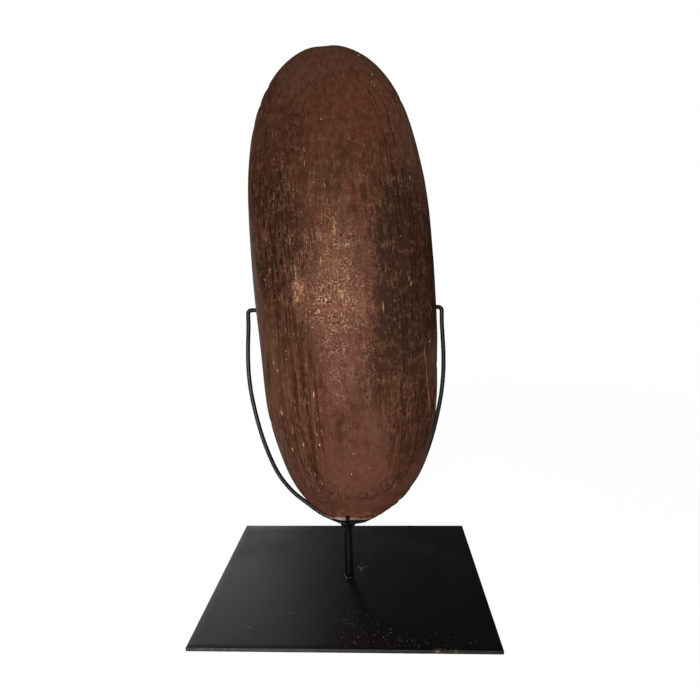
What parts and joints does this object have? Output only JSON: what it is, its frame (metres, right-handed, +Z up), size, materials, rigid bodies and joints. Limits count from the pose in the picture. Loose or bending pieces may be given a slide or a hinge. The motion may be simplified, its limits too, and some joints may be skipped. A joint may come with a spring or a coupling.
{
  "type": "beanwood shield on a stand",
  "caption": "Long oval carved wooden shield, convex and fluted in front with a grip cut into its back, held upright by a bent rod cradle on a flat steel base",
  "frame": {"origin": "middle of the base plate's underside, on the surface that the stand rests on", "axes": "+Z up, -Y out of the shield's convex front, +X to the right of someone facing that front"},
  "size_m": [0.4, 0.35, 0.7967],
  "materials": {
    "ochred_wood": "light, fluted beanwood under worn dark red ochre, handled smooth at its middle",
    "black_paint": "satin black paint on steel, a little dusty, rubbed through at the plate's front edge"
  },
  "bodies": {
    "root": {"shield": "ochred_wood", "base_plate": "black_paint", "stem": "black_paint", "cradle_rod": "black_paint", "front_prong": "black_paint"}
  },
  "joints": []
}
